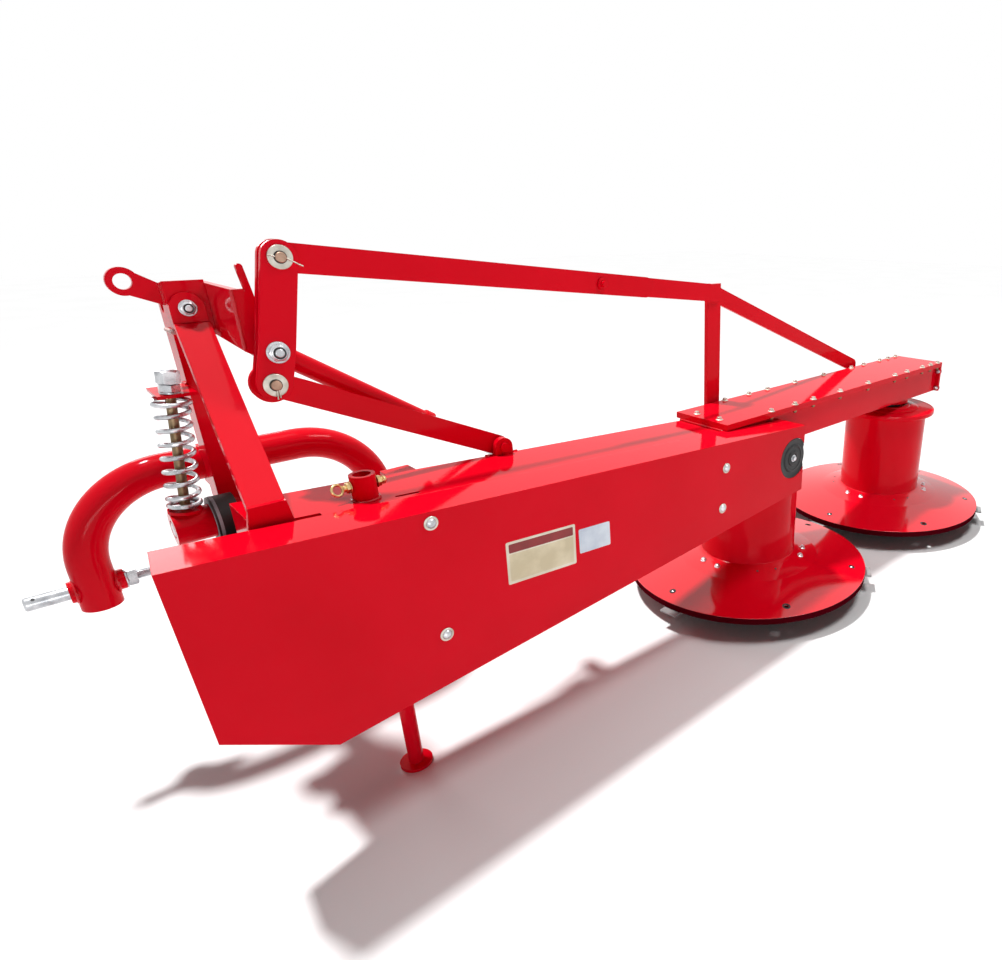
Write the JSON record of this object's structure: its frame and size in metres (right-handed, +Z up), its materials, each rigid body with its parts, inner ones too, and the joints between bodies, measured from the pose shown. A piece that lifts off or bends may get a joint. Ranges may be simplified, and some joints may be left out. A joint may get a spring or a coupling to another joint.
{
  "type": "rear drum mower for a three-point hitch",
  "caption": "Rear-mounted drum mower in red enamel: boxed carrier beam with belt guard, gearbox beam over skirted cutting drums, arched hitch frame, mast with bell crank and links, parking leg",
  "frame": {"origin": "on the ground, at the centre of the inner saucer's sole", "axes": "+X from the hitch to the outer drum, +Y the way the machine travels, +Z up"},
  "size_m": [2.363, 0.6754, 0.894],
  "materials": {
    "red_paint": "glossy red enamel on welded steel",
    "zinc": "bright zinc plate",
    "yellow_zinc": "yellow passivated zinc plate",
    "black_steel": "satin black enamel",
    "black_plastic": "moulded black plastic",
    "black_rubber": "moulded black rubber",
    "cast_pulley": "black painted cast iron"
  },
  "bodies": {
    "cutting_unit": {"carrier_beam": "red_paint", "gearbox_beam": "red_paint", "gearbox_cover": "red_paint", "cover_bolts": "zinc", "beam_end_plate": "red_paint", "belt_guard": "red_paint", "belt_case_back": "red_paint", "guard_bolts": "zinc", "drive_belts": "black_rubber", "input_housing": "red_paint", "hinge_keeper": "black_steel", "pto_shield": "black_plastic", "leg_socket": "red_paint", "clamp_screws": "yellow_zinc", "inner_axle": "black_steel", "outer_axle": "black_steel", "lower_link_lug": "red_paint", "link_guide": "red_paint", "strut": "red_paint", "diagonal_brace": "red_paint", "cylinder_lug": "red_paint"},
    "hitch": {"hitch_bow": "red_paint", "lower_pin_left": "zinc", "lower_pin_right": "zinc", "mast_post": "red_paint", "mast_head": "red_paint", "lift_eye": "red_paint", "mast_arm": "red_paint", "mast_brace": "red_paint", "brace_bolt": "zinc", "hinge_yoke": "red_paint", "break_back_spring": "zinc", "spring_rod": "yellow_zinc", "cross_tube": "red_paint", "rubber_buffer": "black_rubber", "buffer_bolt": "zinc", "crank_pivot_pin": "zinc"},
    "input_drive": {"input_shaft": "zinc", "drive_pulley": "cast_pulley"},
    "pinion_drive": {"driven_pulley": "cast_pulley"},
    "inner_rotor": {"inner_drum": "red_paint", "inner_cutter_disc": "black_steel", "inner_knives": "zinc", "inner_knife_bolts": "zinc"},
    "outer_rotor": {"outer_drum": "red_paint", "outer_cutter_disc": "black_steel", "outer_knives": "zinc", "outer_knife_bolts": "zinc"},
    "inner_glide": {"inner_saucer": "black_steel"},
    "outer_glide": {"outer_saucer": "black_steel"},
    "stand": {"parking_leg": "red_paint"},
    "crank": {"crank_rear_plate": "red_paint", "crank_front_plate": "red_paint", "crank_pins": "yellow_zinc"},
    "lower_bar": {"lower_link": "red_paint"},
    "upper_bar": {"upper_link": "red_paint", "slide_pin": "zinc"},
    "barrel": {"cylinder_barrel": "red_paint"},
    "ram": {"cylinder_rod": "zinc"}
  },
  "joints": [
    {"name": "hitch_float", "type": "hinge", "parent": "cutting_unit", "child": "hitch", "pos_m": [-1.098, 0, 0.382], "axis": [0, 1, 0], "range_deg": [-1.5, 3.5]},
    {"name": "crank_turn", "type": "hinge", "parent": "hitch", "child": "crank", "pos_m": [-1.007, 0.079, 0.739], "axis": [0, 1, 0], "range_deg": [-9.56, 22.04]},
    {"name": "lower_link_turn", "type": "hinge", "parent": "crank", "child": "lower_bar", "pos_m": [-1.02, 0.079, 0.693], "axis": [0, 1, 0], "range_deg": [-25.05, 10.85]},
    {"name": "upper_link_turn", "type": "hinge", "parent": "crank", "child": "upper_bar", "pos_m": [-0.978, 0.079, 0.87], "axis": [0, 1, 0], "range_deg": [-27.15, 11.75]},
    {"name": "cylinder_swing", "type": "hinge", "parent": "hitch", "child": "barrel", "pos_m": [-1.007, 0.13, 0.739], "axis": [0, 1, 0], "range_deg": [-2.81, 1.32]},
    {"name": "cylinder_stroke", "type": "slide", "parent": "barrel", "child": "ram", "axis": [0.821, 0, -0.5709], "range_m": [-0.0222, 0.0101]},
    {"name": "input_turn", "type": "hinge", "parent": "cutting_unit", "child": "input_drive", "pos_m": [-1.098, 0, 0.382], "axis": [0, 1, 0], "continuous": true},
    {"name": "pinion_turn", "type": "hinge", "parent": "cutting_unit", "child": "pinion_drive", "pos_m": [0, -0.1, 0.383], "axis": [0, 1, 0], "continuous": true},
    {"name": "inner_drum_turn", "type": "hinge", "parent": "cutting_unit", "child": "inner_rotor", "pos_m": [0, 0, 0.2], "axis": [0, 0, 1], "continuous": true},
    {"name": "outer_drum_turn", "type": "hinge", "parent": "cutting_unit", "child": "outer_rotor", "pos_m": [0.675, 0, 0.2], "axis": [0, 0, 1], "continuous": true},
    {"name": "inner_saucer_turn", "type": "hinge", "parent": "cutting_unit", "child": "inner_glide", "pos_m": [0, 0, 0.02], "axis": [0, 0, 1], "continuous": true},
    {"name": "outer_saucer_turn", "type": "hinge", "parent": "cutting_unit", "child": "outer_glide", "pos_m": [0.675, 0, 0.02], "axis": [0, 0, 1], "continuous": true},
    {"name": "leg_slide", "type": "slide", "parent": "cutting_unit", "child": "stand", "axis": [0, 0, 1], "range_m": [0, 0.18]}
  ],
  "couplings": [
    {"joint": "crank_turn", "follows": "hitch_float", "ratio": 6.24},
    {"joint": "lower_link_turn", "follows": "hitch_float", "ratio": -7.1},
    {"joint": "upper_link_turn", "follows": "hitch_float", "ratio": -7.7},
    {"joint": "cylinder_swing", "follows": "hitch_float", "ratio": -0.7469},
    {"joint": "cylinder_stroke", "follows": "hitch_float", "m_per_rad": -0.347},
    {"joint": "pinion_turn", "follows": "input_turn", "ratio": 2.5455},
    {"joint": "inner_drum_turn", "follows": "input_turn", "ratio": 3.25},
    {"joint": "outer_drum_turn", "follows": "input_turn", "ratio": -3.25}
  ]
}
